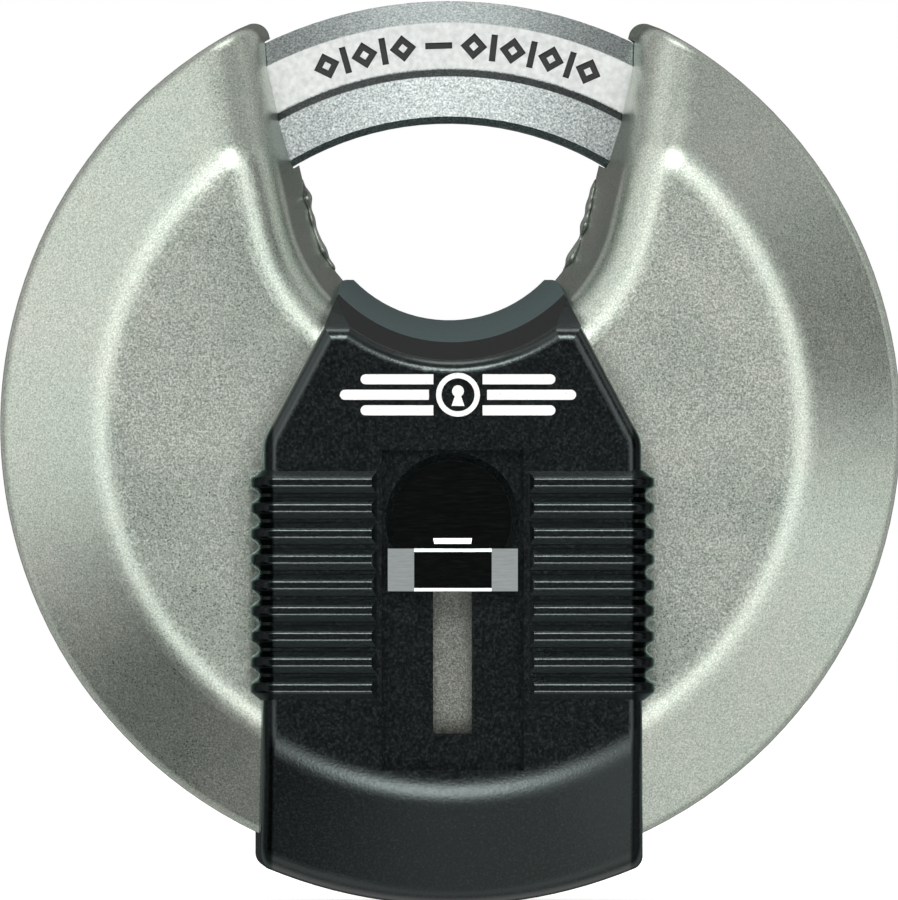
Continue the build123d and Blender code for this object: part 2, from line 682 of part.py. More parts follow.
with BuildPart() as carrier_arm:  # riveted behind the shackle, and turned by the crank pin in its slot
    with BuildSketch(turned_level(ARM_LEVELS[0], ARM_ANGLE)):
        add(sector(LUG_RADII[0], LUG_RADII[1], -LUG_HALF_ANGLE, LUG_HALF_ANGLE))
        arm_start = ARM_TIP + ARM_HALF
        arm_end = LUG_RADII[0] + ARM_OVERLAP
        with Locations((0, (arm_start + arm_end) / 2)):
            Rectangle(2 * ARM_HALF, arm_end - arm_start)
        with Locations((0, arm_start)):
            Circle(ARM_HALF)
        with Locations((0, (ARM_SLOT[0] + ARM_SLOT[1]) / 2)):
            SlotOverall(ARM_SLOT[1] - ARM_SLOT[0], ARM_SLOT_WIDTH, rotation=90, mode=Mode.SUBTRACT)
        with Locations(*(clock(RIVET_CIRCLE, turn) for turn in RIVET_TURNS)):
            Circle(RIVET_RADIUS, mode=Mode.SUBTRACT)
    extrude(amount=ARM_LEVELS[1] - ARM_LEVELS[0])
write(carrier_arm, "carrier_arm")

with BuildPart() as carrier_rivets:
    with BuildSketch(level(ARM_LEVELS[0])):
        with Locations(*(clock(RIVET_CIRCLE, ARM_ANGLE + turn) for turn in RIVET_TURNS)):
            Circle(RIVET_RADIUS)
    extrude(amount=RIVET_DEPTH - SHACKLE_HALF - ARM_LEVELS[0])
write(carrier_rivets, "carrier_rivets")

# ---- sliding shutter ------------------------------------------------------------------------

with BuildPart() as shutter:
    with BuildSketch(level(SHUTTER_LEVELS[0])):
        with Locations(PLUG_CENTRE):
            Circle(SHUTTER_HALF)
        with Locations((0, SHUTTER_BOTTOM - SHUTTER_HALF)):
            Rectangle(2 * SHUTTER_HALF, 2 * SHUTTER_HALF, mode=Mode.SUBTRACT)
        with Locations((0, (SHUTTER_BOTTOM - PLUG_DROP) / 2)):
            Rectangle(2 * SHUTTER_HALF, -SHUTTER_BOTTOM - PLUG_DROP)
    extrude(amount=SHUTTER_LEVELS[1] - SHUTTER_LEVELS[0])
    with BuildSketch(level(SHUTTER_LEVELS[1])):
        with Locations((0, (GRIP_TOP + GRIP_BOTTOM) / 2)):
            Rectangle(2 * STEM_HALF, GRIP_TOP - GRIP_BOTTOM - STEM_SHORT)
    extrude(amount=GRIP_LEVELS[0] - SHUTTER_LEVELS[1])
    with BuildSketch(Plane(origin=(0, 0, DISC_Z + GRIP_TOP), x_dir=(1, 0, 0), z_dir=(0, 0, -1))):
        with BuildLine():
            Polyline(
                (-GRIP_HALF, GRIP_LEVELS[0]),
                (-GRIP_HALF, GRIP_SHOULDER),
                (-GRIP_DISH_HALF, GRIP_LEVELS[1]),
                (GRIP_DISH_HALF, GRIP_LEVELS[1]),
                (GRIP_HALF, GRIP_SHOULDER),
                (GRIP_HALF, GRIP_LEVELS[0]),
                close=True,
            )
        make_face()
    extrude(amount=GRIP_TOP - GRIP_BOTTOM)
    with BuildSketch(level(GRIP_LEVELS[1])):
        with Locations((0, (GRIP_TOP + GRIP_BOTTOM) / 2)):
            Rectangle(2 * GRIP_DISH_HALF, GRIP_TOP - GRIP_BOTTOM - 2 * GRIP_RIM)
    extrude(amount=-GRIP_DISH_DEPTH, mode=Mode.SUBTRACT)
    with BuildSketch(upright(-GRIP_DISH_HALF)):  # the dish's top and bottom rims lean outward
        for edge, crest in ((GRIP_TOP, GRIP_TOP - GRIP_RIM), (GRIP_BOTTOM, GRIP_BOTTOM + GRIP_RIM)):
            with BuildLine():
                Polyline(
                    (edge, GRIP_LEVELS[1] - GRIP_RIM_FALL),
                    (crest, GRIP_LEVELS[1]),
                    (edge, GRIP_LEVELS[1]),
                    close=True,
                )
            make_face()
    extrude(amount=2 * GRIP_DISH_HALF, mode=Mode.SUBTRACT)
    with BuildSketch(level(SHUTTER_LEVELS[1])):
        with BuildLine():
            Polyline(
                (-STEM_HALF, GRIP_TOP),
                (-STEM_HALF - TAB_FLARE, TAB_TOP),
                (STEM_HALF + TAB_FLARE, TAB_TOP),
                (STEM_HALF, GRIP_TOP),
                close=True,
            )
        make_face()
    extrude(amount=TAB_LEVELS[1] - SHUTTER_LEVELS[1])
    with BuildSketch(upright(-GRIP_DISH_HALF)):  # leaves a facet along the tab's top
        with BuildLine():
            Polyline(
                (GRIP_TOP, TAB_LEVELS[0]),
                (TAB_FOOT, TAB_LEVELS[0]),
                (TAB_FOOT, TAB_LEVELS[1]),
                (TAB_TOP, TAB_LEVELS[2]),
                (TAB_TOP, GRIP_LEVELS[1]),
                (GRIP_TOP, GRIP_LEVELS[1]),
                close=True,
            )
        make_face()
    extrude(amount=2 * GRIP_DISH_HALF, mode=Mode.SUBTRACT)
write(shutter, "shutter")

# ---- plastic covers -------------------------------------------------------------------------


def is_face_edge(edge):
    """True for the edges of a cover's flat face, whose rounding runs on down the skirt's sides."""
    middle = edge.position_at(0.5)
    return abs(middle.Y) > COVER_LEVEL - CLOSE and middle.Z - DISC_Z > -0.8 * COVER_CREASE


with BuildPart() as saddle_block:  # the throat as the covers line it
    with BuildSketch(THROAT_SECTION):
        with BuildLine():
            parting_radius = SADDLE_RADIUS + PARTING_LEVEL * math.tan(math.radians(THROAT_DRAFT))
            slope = (SADDLE_FACE_RADIUS - parting_radius) / (COVER_LEVEL - PARTING_LEVEL)
            reach = COVER_LEVEL + BEYOND
            wide = SADDLE_FACE_RADIUS + BEYOND * slope
            Polyline(
                (0, -reach),
                (wide, -reach),
                (parting_radius, -PARTING_LEVEL),
                (SADDLE_RADIUS, 0),
                (parting_radius, PARTING_LEVEL),
                (wide, reach),
                (0, reach),
                close=True,
            )
        make_face()
    revolve(axis=THROAT_AXIS)

with BuildPart() as cover_disc:
    with BuildSketch(SECTION) as cover_profile:
        with BuildLine():
            Polyline(
                (0, -COVER_LEVEL),
                (COVER_CREASE, -COVER_LEVEL),
                (COVER_RADIUS, -COVER_RIM_LEVEL),
                (COVER_RADIUS, COVER_RIM_LEVEL),
                (COVER_CREASE, COVER_LEVEL),
                (0, COVER_LEVEL),
                close=True,
            )
        make_face()
        corners = cover_profile.vertices()
        fillet(corners.filter_by(lambda corner: abs(corner.X - COVER_CREASE) < CLOSE), COVER_CREASE_ROUND)
        corners = cover_profile.vertices()
        fillet(corners.filter_by(lambda corner: corner.X > COVER_RADIUS - CLOSE), COVER_RIM_ROUND)
    revolve(axis=DISC_AXIS)

with BuildPart() as cover_blank:  # both covers in one, before they part
    with BuildSketch(level(0)) as cover_outline:
        with BuildLine():
            Polyline(
                (-COVER_HALF_WIDTH, -FAR),
                (-SHOULDER[0], SHOULDER[1]),
                (-EAR[0], EAR[1]),
                (-EAR_TIP[0], EAR_TIP[1]),
                (-EAR_FOOT[0], EAR_FOOT[1]),
                EAR_FOOT,
                EAR_TIP,
                EAR,
                SHOULDER,
                (COVER_HALF_WIDTH, -FAR),
                close=True,
            )
        make_face()
        corners = cover_outline.vertices()
        fillet(corners.filter_by(lambda corner: abs(corner.Y - SHOULDER[1]) < CLOSE), SHOULDER_ROUND)
        corners = cover_outline.vertices()
        fillet(corners.filter_by(lambda corner: abs(corner.Y - EAR[1]) < CLOSE), EAR_ROUND)
    extrude(amount=COVER_LEVEL + BEYOND, taper=COVER_DRAFT)
    mirror(about=DISC)
    add(cover_disc.part, mode=Mode.INTERSECT)
    add(saddle_block.part, mode=Mode.SUBTRACT)
    with BuildSketch(upright(-COVER_HALF_WIDTH)):  # the ears slope back towards both faces
        for facing in (1, -1):
            with BuildLine():
                Polyline(
                    (EAR_SLOPE_START[0], facing * EAR_SLOPE_START[1]),
                    (EAR_SLOPE_END[0], facing * EAR_SLOPE_END[1]),
                    (EAR[1] + BEYOND, facing * EAR_SLOPE_END[1]),
                    (EAR[1] + BEYOND, facing * EAR_SLOPE_START[1]),
                    close=True,
                )
            make_face()
    extrude(amount=2 * COVER_HALF_WIDTH, mode=Mode.SUBTRACT)
    add(front_form.part, mode=Mode.SUBTRACT)
    add(rear_form.part, mode=Mode.SUBTRACT)
    fillet(cover_blank.edges().filter_by(is_face_edge), COVER_EDGE_ROUND)

with BuildPart() as front_half:  # what belongs to the front cover: everything before its partings
    with BuildSketch(level(0)):
        Rectangle(FAR, 2 * FAR)
    extrude(amount=FAR)
    with BuildSketch(level(0)):
        with Locations((0, THROAT_HEIGHT)):
            Circle(LINER_CUT_RADIUS)
    extrude(amount=PARTING_LEVEL, mode=Mode.SUBTRACT)

with BuildPart() as ribs:  # swept over the face and round the side as one comb, then mirrored
    with BuildLine(SECTION) as rib_path:
        FilletPolyline(
            (RIB_INNER - RIB_OVERRUN, COVER_LEVEL),
            (COVER_HALF_WIDTH - RIB_SINK, COVER_LEVEL),
            (COVER_HALF_WIDTH - RIB_SINK, RIB_SIDE_LEVEL),
            radius=RIB_CORNER,
        )
    with BuildSketch(Plane(origin=rib_path.line @ 0, x_dir=(0, 0, 1), z_dir=(1, 0, 0))) as comb:
        outline = [(RIB_TOP + RIB_SLOPE * RIB_SEAT, -RIB_ROOT), (RIB_TOP + RIB_SLOPE * RIB_SEAT, -RIB_SEAT)]
        for row in range(RIB_COUNT):
            top = RIB_TOP - row * RIB_PITCH
            crown = top - RIB_SLOPE * RIB_HEIGHT
            foot = crown - RIB_CROWN - RIB_SLOPE * RIB_HEIGHT
            outline += [(crown, RIB_HEIGHT), (crown - RIB_CROWN, RIB_HEIGHT)]
            if row < RIB_COUNT - 1:
                outline += [(foot, GROOVE_LEVEL), (top - RIB_PITCH, GROOVE_LEVEL)]
        outline += [(foot - RIB_SLOPE * RIB_SEAT, -RIB_SEAT), (foot - RIB_SLOPE * RIB_SEAT, -RIB_ROOT)]
        with BuildLine():
            Polyline(*outline, close=True)
        make_face()
        corners = comb.vertices()
        fillet(corners.filter_by(lambda corner: corner.Y > RIB_HEIGHT - CLOSE), RIB_ROUND)
    sweep(path=rib_path.line)
    with BuildSketch(SECTION):  # trims the ribs' inner ends to a slope
        with BuildLine():
            Polyline(
                (0, 0),
                (RIB_INNER, 0),
                (RIB_INNER, COVER_LEVEL),
                (RIB_INNER + RIB_END_SLOPE, COVER_LEVEL + RIB_HEIGHT),
                (RIB_INNER + RIB_END_SLOPE, FAR),
                (0, FAR),
                close=True,
            )
        make_face()
    extrude(amount=FAR, mode=Mode.SUBTRACT)
    mirror(about=Plane.YZ)

with BuildPart() as front_cover:
    add(cover_blank.part)
    add(front_half.part, mode=Mode.INTERSECT)
    add(ribs.part)
    add(front_form.part, mode=Mode.SUBTRACT)
    with BuildSketch(level(CHANNEL_FLOOR)):  # the sunk channel that the shutter's grip slides in
        with Locations((0, (CHANNEL_TOP + CHANNEL_BOTTOM) / 2)):
            Rectangle(2 * CHANNEL_HALF, CHANNEL_TOP - CHANNEL_BOTTOM)
    extrude(amount=FAR, mode=Mode.SUBTRACT)
    with BuildSketch(level(FACE_LEVEL)):  # the pocket that the shutter's plate slides in
        with Locations((0, (POCKET_TOP + POCKET_BOTTOM) / 2)):
            Rectangle(2 * POCKET_HALF, POCKET_TOP - POCKET_BOTTOM)
    extrude(amount=POCKET_LEVEL - FACE_LEVEL, mode=Mode.SUBTRACT)
    with BuildSketch(level(FACE_LEVEL)):  # the key window, and the slot that the grip's stem runs in
        with Locations(PLUG_CENTRE):
            Circle(WINDOW_RADIUS)
        with Locations((0, (SLOT_BOTTOM - PLUG_DROP) / 2)):
            Rectangle(2 * SLOT_HALF, -SLOT_BOTTOM - PLUG_DROP)
    extrude(amount=FAR, mode=Mode.SUBTRACT)
    window_edge = front_cover.edges().filter_by(
        lambda edge: edge.geom_type == GeomType.CIRCLE
        and abs(edge.radius - WINDOW_RADIUS) < CLOSE
        and abs(edge.position_at(0.5).Y + CHANNEL_FLOOR) < CLOSE
    )
    chamfer(window_edge, WINDOW_CHAMFER)
    with BuildSketch(level(FACE_LEVEL)):  # cored out behind the grips, as a moulding is
        for side in (-1, 1):
            with Locations((side * CORE_CENTRE[0], CORE_CENTRE[1])):
                RectangleRounded(CORE_SIZE[0], CORE_SIZE[1], CORE_ROUND)
    extrude(amount=CORE_DEPTH, mode=Mode.SUBTRACT)
write(front_cover, "front_cover")

with BuildPart() as rear_cover:
    add(cover_blank.part)
    add(front_half.part, mode=Mode.SUBTRACT)
    with BuildSketch(level(-FACE_LEVEL)):
        for side in (-1, 1):
            with Locations((side * CORE_CENTRE[0], CORE_CENTRE[1])):
                RectangleRounded(CORE_SIZE[0], CORE_SIZE[1], CORE_ROUND)
    extrude(amount=-CORE_DEPTH, mode=Mode.SUBTRACT)
write(rear_cover, "rear_cover")
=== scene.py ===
"""The looks of the disc padlock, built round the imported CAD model.

Everything is in metres in the lock's own frame: +Z up, +X to the right, and the front faces -Y.
A level is a distance in front of the disc's mid-plane, and a radius is from the disc's own axis.
"""

import math
import random

import bmesh
import bpy
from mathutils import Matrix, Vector


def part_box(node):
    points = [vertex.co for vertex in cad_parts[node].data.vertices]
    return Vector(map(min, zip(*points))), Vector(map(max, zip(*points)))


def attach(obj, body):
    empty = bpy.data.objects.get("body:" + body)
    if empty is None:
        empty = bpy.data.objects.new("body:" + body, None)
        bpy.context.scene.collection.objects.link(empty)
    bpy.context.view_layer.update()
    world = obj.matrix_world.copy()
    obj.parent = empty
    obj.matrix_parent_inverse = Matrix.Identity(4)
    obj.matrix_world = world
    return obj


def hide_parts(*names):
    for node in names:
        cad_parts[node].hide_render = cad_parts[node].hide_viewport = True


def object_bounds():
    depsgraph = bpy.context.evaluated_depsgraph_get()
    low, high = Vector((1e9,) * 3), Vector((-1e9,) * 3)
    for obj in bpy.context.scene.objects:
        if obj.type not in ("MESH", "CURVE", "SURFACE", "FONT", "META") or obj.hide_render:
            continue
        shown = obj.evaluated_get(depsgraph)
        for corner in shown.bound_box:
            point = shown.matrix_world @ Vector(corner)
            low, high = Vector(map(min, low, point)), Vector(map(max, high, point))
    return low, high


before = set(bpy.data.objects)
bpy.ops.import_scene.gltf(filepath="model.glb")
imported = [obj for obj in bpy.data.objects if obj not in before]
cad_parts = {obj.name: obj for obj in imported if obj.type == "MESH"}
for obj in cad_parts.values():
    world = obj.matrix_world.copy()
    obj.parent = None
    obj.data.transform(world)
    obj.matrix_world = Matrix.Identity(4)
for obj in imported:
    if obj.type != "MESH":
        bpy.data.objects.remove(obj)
CAD_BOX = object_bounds()
MM = 0.001

# ---- places read from the frame -------------------------------------------------------------

SHELL_LOW, SHELL_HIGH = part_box("front_shell")
DISC_RADIUS = SHELL_HIGH.x
DISC_Z = SHELL_LOW.z + DISC_RADIUS
THROAT_HEIGHT = -DISC_Z / MM
# The two covers' faces are equally far from the mid-plane, and only the rear one has nothing standing on it.
COVER_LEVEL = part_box("rear_cover")[1].y
FLOOR_Z = CAD_BOX[0].z


def on_disc(across, up, level):
    """The place of a point given from the disc's centre, in millimetres, at a level."""
    return Vector((across * MM, -level * MM, DISC_Z + up * MM))


# ---- node trees -----------------------------------------------------------------------------

# Noise seldom leaves this range, so colours and roughness are spread over it.
NOISE_SPAN = (0.3, 0.7)


class Graph:
    """A short way to write a node tree."""

    def __init__(self, tree):
        self.tree = tree
        tree.nodes.clear()

    def add(self, kind, inputs=None, **settings):
        """Adds a node, with its settings, and its inputs by name or number."""
        node = self.tree.nodes.new(kind)
        for name, value in settings.items():
            setattr(node, name, value)
        for name, value in (inputs or {}).items():
            self.feed(node.inputs[name], value)
        return node

    def feed(self, socket, value):
        """Links a socket to another node's output, or sets its value."""
        if isinstance(value, bpy.types.NodeSocket):
            self.tree.links.new(value, socket)
        else:
            socket.default_value = value

    def math(self, operation, first, second=0.0, third=0.0):
        node = self.add("ShaderNodeMath", {0: first, 1: second, 2: third}, operation=operation)
        return node.outputs[0]

    def step(self, value, start, end, low=0.0, high=1.0):
        """Rises smoothly from low to high as value goes from start to end."""
        inputs = {"Value": value, "From Min": start, "From Max": end, "To Min": low, "To Max": high}
        return self.add("ShaderNodeMapRange", inputs, interpolation_type="SMOOTHSTEP").outputs[0]

    def spread(self, value, start, end, low, high):
        """Goes straight from low to high as value goes from start to end, and no further."""
        inputs = {"Value": value, "From Min": start, "From Max": end, "To Min": low, "To Max": high}
        return self.add("ShaderNodeMapRange", inputs).outputs[0]

    def vary(self, noise, low, high):
        """Goes from low to high over the range of a noise."""
        return self.spread(noise, *NOISE_SPAN, low, high)

    def noise(self, size, detail=2.0, roughness=0.55, where=None):
        """Noise whose features are about this many millimetres across."""
        inputs = {"Scale": 1 / (size * MM), "Detail": detail, "Roughness": roughness}
        if where is not None:
            inputs["Vector"] = where
        return self.add("ShaderNodeTexNoise", inputs).outputs["Fac"]

    def ramp(self, value, stops):
        """A colour ramp with stops of place and colour."""
        node = self.add("ShaderNodeValToRGB", {"Fac": value})
        elements = node.color_ramp.elements
        while len(elements) < len(stops):
            elements.new(0.5)
        for element, (place, colour) in zip(elements, stops):
            element.position = place
            element.color = (*colour, 1.0)
        return node.outputs["Color"]

    def shades(self, noise, first, last):
        """Goes from one colour to another over the range of a noise."""
        return self.ramp(noise, list(zip(NOISE_SPAN, (first, last))))

    def mix(self, share, first, second, blend="MIX"):
        """Mixes two colours."""
        node = self.add("ShaderNodeMix", data_type="RGBA", blend_type=blend)
        self.feed(node.inputs[0], share)
        for number, value in ((6, first), (7, second)):
            self.feed(node.inputs[number], value if hasattr(value, "node") else (*value, 1.0))
        return node.outputs[2]

    def bump(self, height, depth, after=None):
        """Bumps of a height in millimetres, laid over an earlier normal."""
        inputs = {"Height": height, "Distance": depth * MM, "Strength": 1.0}
        if after is not None:
            inputs["Normal"] = after
        return self.add("ShaderNodeBump", inputs).outputs["Normal"]


class Finish(Graph):
    """A material of one Principled surface, with the coordinates of the lock to hand, in millimetres."""

    def __init__(self, name):
        self.material = bpy.data.materials.new(name)
        self.material.use_nodes = True
        super().__init__(self.material.node_tree)
        self.where = self.add("ShaderNodeTexCoord").outputs["Object"]
        across, back, up = self.add("ShaderNodeSeparateXYZ", {0: self.where}).outputs
        self.level = self.math("MULTIPLY", back, -1 / MM)
        self.up = self.math("MULTIPLY", self.math("SUBTRACT", up, DISC_Z), 1 / MM)
        self.across = self.math("MULTIPLY", across, 1 / MM)

    def noise(self, size, detail=2.0, roughness=0.55, where=None):
        return super().noise(size, detail, roughness, self.where if where is None else where)

    def stretched(self, factors):
        """The coordinates with each axis multiplied, so that noise runs in lines."""
        inputs = {0: self.where, 1: factors}
        return self.add("ShaderNodeVectorMath", inputs, operation="MULTIPLY").outputs[0]

    def radius(self, height=None):
        """How far a point is from an axis straight back through the disc's centre, or past another height."""
        height = self.up if height is None else height
        squares = self.math("MULTIPLY", height, height)
        return self.math("SQRT", self.math("MULTIPLY_ADD", self.across, self.across, squares))

    def between(self, value, low, high, soft):
        """1 where value is between low and high, with soft edges, and 0 elsewhere."""
        rise = self.step(value, low - soft, low + soft)
        return self.math("MULTIPLY", rise, self.step(value, high - soft, high + soft, 1.0, 0.0))

    def all_of(self, *masks):
        """1 only where each of the masks is 1."""
        product = masks[0]
        for mask in masks[1:]:
            product = self.math("MULTIPLY", product, mask)
        return product

    def surface(self, colour, roughness, normal, **fixed):
        """Joins up the surface: colour, roughness and normal vary over it, and the rest mostly doesn't."""
        inputs = {"Base Color": colour, "Roughness": roughness, "Normal": normal}
        shader = self.add("ShaderNodeBsdfPrincipled", inputs)
        for name, value in fixed.items():
            self.feed(shader.inputs[name.replace("_", " ").title().replace("Ior", "IOR")], value)
        self.add("ShaderNodeOutputMaterial", {"Surface": shader.outputs[0]})
        return self.material


# ---- materials ------------------------------------------------------------------------------

STEEL_TONES = [(0.3, (0.32, 0.385, 0.355)), (0.5, (0.57, 0.615, 0.575)), (0.7, (0.82, 0.85, 0.80))]
STEEL_TINTS = [(0.35, (0.93, 0.97, 0.93)), (0.65, (1.0, 0.985, 0.955))]
# The strip of shell that shows at the bottom of the cover's slot, which gets painted shade that is darkest
# towards the slot's lower end.
SLOT_HALF_WIDTH = 1.6
SLOT_ENDS = (-25.0, -9.0)
SLOT_FLOOR_LEVELS = (12.0, 12.4)
SLOT_SHADE_FADE = (-23.9, -22.6)
SLOT_SHADE = (0.07, 0.068, 0.06)


def blasted_steel():
    """Stainless steel blasted with glass beads: an even, fine grain with a soft gloss."""
    finish = Finish("blasted_steel")
    grain = finish.noise(0.13, detail=2.0, roughness=0.7)
    cloud = finish.noise(9.0, detail=3.0)
    tone = finish.ramp(grain, STEEL_TONES)
    colour = finish.mix(1.0, tone, finish.ramp(cloud, STEEL_TINTS), "MULTIPLY")
    # Painted shade in the cover's slot: the shell there is mixed towards a dark colour, more so near the
    # slot's lower end.
    under_slot = finish.all_of(
        finish.between(finish.across, -SLOT_HALF_WIDTH, SLOT_HALF_WIDTH, 0.1),
        finish.between(finish.up, *SLOT_ENDS, 0.2),
        finish.step(finish.level, *SLOT_FLOOR_LEVELS),
    )
    fade = finish.spread(finish.up, *SLOT_SHADE_FADE, 0.9, 0.5)
    slot_shade = finish.math("ADD", fade, finish.vary(grain, 0.12, -0.1))
    colour = finish.mix(finish.math("MULTIPLY", under_slot, slot_shade), colour, SLOT_SHADE)
    roughness = finish.math("ADD", finish.vary(grain, 0.28, 0.36), finish.vary(cloud, -0.02, 0.02))
    normal = finish.bump(grain, 0.011, finish.bump(finish.noise(1.6), 0.02))
    return finish.surface(colour, roughness, normal, metallic=1.0)


# The shackle's milled flat, the marks stamped in it, the step under it, which gets a painted shadow, and the
# shackle's outside beyond the flat, which gets painted shade.
FLAT_RADII, FLAT_LEVELS = (27.85, 31.4), (4.3, 4.5)
MARK_RADII, MARK_LEVELS = (28.2, 31.2), (4.0, 4.27)
STEP_SHADOW_RADII, STEP_SHADOW_LEVELS = (27.2, 27.75), (4.3, 4.4)
OUTER_SHADE_RADII = (31.35, 31.5)
SPECKLES = [(0.32, (0.12, 0.145, 0.145)), (0.5, (0.36, 0.40, 0.40)), (0.7, (0.72, 0.76, 0.76))]


def shackle_steel():
    """Plated steel: satin and speckled, with a milled flat that is polished and stamped with black marks."""
    finish = Finish("shackle_steel")
    radius = finish.radius()
    flat = finish.all_of(
        finish.between(radius, *FLAT_RADII, 0.06),
        finish.between(finish.level, *FLAT_LEVELS, 0.03),
    )
    ink = finish.all_of(
        finish.between(radius, *MARK_RADII, 0.05),
        finish.between(finish.level, *MARK_LEVELS, 0.06),
    )
    # The step under the flat, which is coloured nearly black as a painted shadow.
    step = finish.all_of(
        finish.between(radius, *STEP_SHADOW_RADII, 0.05),
        finish.step(finish.level, *STEP_SHADOW_LEVELS),
    )
    # The shackle's outside beyond the flat, which is darkened as painted shade.
    outer = finish.step(radius, *OUTER_SHADE_RADII)
    grain = finish.noise(0.17, detail=3.0, roughness=0.7)
    worn = finish.noise(0.5, detail=2.0, roughness=0.5)
    polished = finish.shades(worn, (0.55, 0.57, 0.57), (0.70, 0.72, 0.72))
    black = finish.shades(grain, (0.010, 0.011, 0.012), (0.03, 0.032, 0.034))
    colour = finish.mix(flat, finish.ramp(grain, SPECKLES), polished)
    # Painted shade on the outside beyond the flat, then a painted shadow on the step.
    colour = finish.mix(finish.math("MULTIPLY", outer, 0.35), colour, (0.10, 0.125, 0.125))
    colour = finish.mix(finish.math("MULTIPLY", step, 0.85), colour, (0.03, 0.034, 0.035))
    colour = finish.mix(ink, colour, black)
    roughness = finish.vary(grain, 0.28, 0.42)
    roughness = finish.math("ADD", roughness, finish.math("MULTIPLY", flat, 0.17))
    roughness = finish.math("ADD", roughness, finish.math("MULTIPLY", ink, 0.3))
    normal = finish.bump(finish.math("MULTIPLY", grain, finish.math("SUBTRACT", 1.0, flat)), 0.012)
    metallic = finish.math("SUBTRACT", 1.0, ink)
    return finish.surface(colour, roughness, normal, metallic=metallic)


PLASTIC_IOR = 1.62
PLASTIC_SHEEN = (0.84, 1.0, 1.0, 1.0)
PLASTIC_BLACKS = [
    (0.35, (0.0015, 0.002, 0.0022)),
    (0.55, (0.003, 0.004, 0.0042)),
    (0.72, (0.012, 0.015, 0.016)),
]
PLASTIC_TINTS = [(0.35, (0.8, 0.83, 0.85)), (0.65, (1.0, 1.0, 0.98))]
# How far across the cover its flat front gives way to its sides, where painted shade begins.
COVER_SIDE_SHADE = (13.75, 14.05)


def cover_plastic():
    """Black moulded plastic with a spark-eroded grain, with painted shade round its sides: the near-black
    colour turns metallic there and reflects almost nothing.
    """
    finish = Finish("cover_plastic")
    grain = finish.noise(0.2, detail=2.0, roughness=0.65)
    cloud = finish.noise(7.0, detail=3.0)
    black = finish.ramp(grain, PLASTIC_BLACKS)
    colour = finish.mix(1.0, black, finish.ramp(cloud, PLASTIC_TINTS), "MULTIPLY")
    roughness = finish.vary(grain, 0.16, 0.26)
    normal = finish.bump(grain, 0.012)
    # Painted shade on the sides: metallic rises there, so the near-black colour reflects almost nothing.
    side = finish.step(finish.math("ABSOLUTE", finish.across), *COVER_SIDE_SHADE, 0.0, 0.85)
    fixed = {"ior": PLASTIC_IOR, "specular_tint": PLASTIC_SHEEN}
    return finish.surface(colour, roughness, normal, metallic=side, **fixed)


# Where the rear cover stops lining the throat, from the throat's centre.
LINING_RADII = (12.3, 12.2)


def liner_plastic():
    """The rear cover's plastic, whose throat lining is smooth where hands and hasps rub it, and a lighter grey
    there as a painted sheen for the light from above.
    """
    finish = Finish("liner_plastic")
    grain = finish.noise(0.2, detail=2.0, roughness=0.65)
    from_throat = finish.radius(finish.math("SUBTRACT", finish.up, THROAT_HEIGHT))
    lining = finish.step(from_throat, *LINING_RADII)
    outside = finish.ramp(grain, [(0.35, (0.002, 0.0026, 0.003)), (0.7, (0.015, 0.018, 0.019))])
    # Painted sheen on the lining: a lighter grey stands in for the light that falls on it from above.
    painted_sheen = finish.shades(grain, (0.055, 0.088, 0.092), (0.064, 0.100, 0.104))
    colour = finish.mix(lining, outside, painted_sheen)
    texture = finish.math("SUBTRACT", 1.0, finish.math("MULTIPLY", lining, 0.9))
    roughness = finish.math("ADD", finish.vary(grain, 0.22, 0.32), finish.math("MULTIPLY", lining, 0.15))
    normal = finish.bump(finish.math("MULTIPLY", grain, texture), 0.012)
    return finish.surface(colour, roughness, normal, ior=PLASTIC_IOR, specular_tint=PLASTIC_SHEEN)


def shutter_chrome():
    """Dark polished plate, like black nickel, with faint hairlines."""
    finish = Finish("shutter_chrome")
    lines = finish.noise(1.2, 3.0, 0.6, finish.stretched((1.0, 1.0, 9.0)))
    colour = finish.shades(lines, (0.18, 0.20, 0.205), (0.22, 0.24, 0.24))
    roughness = finish.vary(lines, 0.06, 0.12)
    return finish.surface(colour, roughness, finish.bump(lines, 0.003), metallic=1.0)


def machined(name, dark, light, size, stretch, roughness):
    """A turned, drawn or plated metal whose fine lines run across one axis."""
    finish = Finish(name)
    lines = finish.noise(size, 3.0, 0.6, finish.stretched(stretch))
    cloud = finish.noise(4.0, detail=3.0)
    stain = finish.shades(cloud, (0.86, 0.86, 0.86), (1.0, 1.0, 1.0))
    colour = finish.mix(1.0, finish.shades(lines, dark, light), stain, "MULTIPLY")
    rough = finish.vary(cloud, roughness - 0.06, roughness + 0.06)
    return finish.surface(colour, rough, finish.bump(lines, 0.008), metallic=1.0)


def die_cast_zinc():
    """A grey zinc casting with a slightly orange-peel skin."""
    finish = Finish("die_cast_zinc")
    peel = finish.noise(0.8, detail=4.0, roughness=0.6)
    stain = finish.noise(5.0, detail=3.0)
    colour = finish.shades(stain, (0.33, 0.34, 0.35), (0.48, 0.49, 0.50))
    roughness = finish.vary(peel, 0.4, 0.58)
    return finish.surface(colour, roughness, finish.bump(peel, 0.04), metallic=1.0)


WELD_TONES = [(0.3, (0.30, 0.33, 0.31)), (0.55, (0.46, 0.49, 0.46)), (0.75, (0.62, 0.64, 0.61))]


